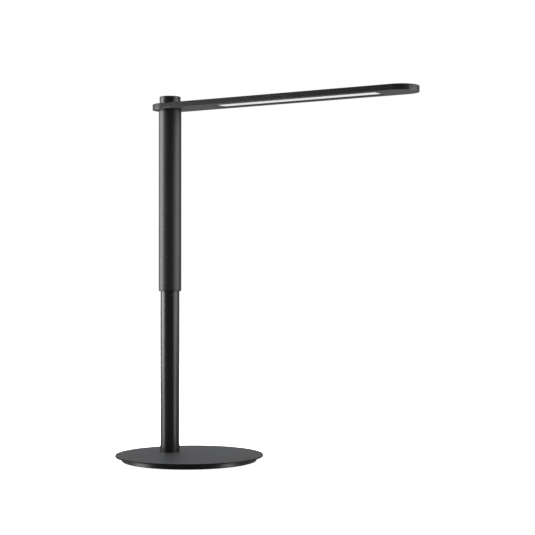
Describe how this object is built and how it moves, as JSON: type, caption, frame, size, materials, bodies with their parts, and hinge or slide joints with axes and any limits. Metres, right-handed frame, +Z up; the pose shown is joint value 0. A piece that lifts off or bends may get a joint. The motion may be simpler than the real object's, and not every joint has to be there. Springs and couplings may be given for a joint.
{
  "type": "desk lamp",
  "caption": "Desk lamp with a low round base, a telescoping stem off its middle and a flat arm that swings round the stem, with a recessed light below and a button in its cap.",
  "frame": {"origin": "middle of the round base, on the table", "axes": "+Z up, +X along the arm from the stem to the tip at rest, with the stem drawn right out"},
  "size_m": [0.4199, 0.193, 0.48],
  "materials": {
    "satin_black_paint": "satin powder coat on steel",
    "gloss_black_paint": "semi-gloss paint on steel",
    "satin_black_aluminium": "satin black paint on aluminium",
    "bare_aluminium": "turned",
    "zinc_steel": "zinc plated",
    "brass": "plain",
    "black_plastic": "matte",
    "white_plastic": "matte",
    "opal_acrylic": "opal, satin",
    "white_board": "white solder mask on an aluminium board",
    "circuit_board": "green solder mask",
    "black_rubber": "foamed, matte",
    "lead_rubber": "smooth",
    "felt": "pressed wool felt"
  },
  "bodies": {
    "base": {"base_plate": "satin_black_paint", "base_weight": "gloss_black_paint", "base_pad": "black_rubber", "base_screws": "zinc_steel", "driver_board": "circuit_board", "driver_parts": "black_plastic", "power_inlet": "black_plastic", "inlet_pin": "brass", "inlet_lead": "lead_rubber", "foot_bolt": "zinc_steel", "foot_washer": "zinc_steel", "stem_foot": "gloss_black_paint", "lower_tube": "gloss_black_paint", "upper_guide": "black_plastic", "stem_lead": "lead_rubber", "stem_coil": "lead_rubber"},
    "column": {"upper_tube": "satin_black_aluminium", "lower_guide": "black_plastic", "brake_ring": "felt", "stop_ring": "zinc_steel", "turn_rail": "zinc_steel", "head_plug": "bare_aluminium", "pivot_bush": "black_plastic", "stop_pin": "zinc_steel", "thrust_washer": "black_plastic", "disc_spring": "zinc_steel"},
    "arm": {"arm_shell": "satin_black_aluminium", "underplate": "satin_black_aluminium", "diffuser": "opal_acrylic", "led_board": "white_board", "leds": "white_plastic", "led_lead": "lead_rubber", "switch_lead": "lead_rubber", "lead_connector": "white_plastic", "pivot_bolt": "zinc_steel", "drive_pin": "zinc_steel", "nut_washer": "zinc_steel", "pivot_nut": "zinc_steel", "cap_shell": "satin_black_aluminium", "switch_board": "circuit_board", "switch_housing": "black_plastic", "button_spring": "zinc_steel"},
    "button": {"power_button": "satin_black_aluminium", "switch_plunger": "white_plastic"}
  },
  "joints": [
    {"name": "height_slide", "type": "slide", "parent": "base", "child": "column", "axis": [0, 0, 1], "range_m": [-0.14, 0], "deforming": ["stem_coil"]},
    {"name": "arm_swing", "type": "hinge", "parent": "column", "child": "arm", "pos_m": [-0.03864, 0.01035, 0.47], "axis": [0, 0, 1], "range_deg": [-180, 150]},
    {"name": "button_press", "type": "slide", "parent": "arm", "child": "button", "axis": [0, 0, -1], "range_m": [0, 0.0007], "stiffness_N_per_m": 1500, "springref_m": -0.0005, "deforming": ["button_spring"]}
  ]
}
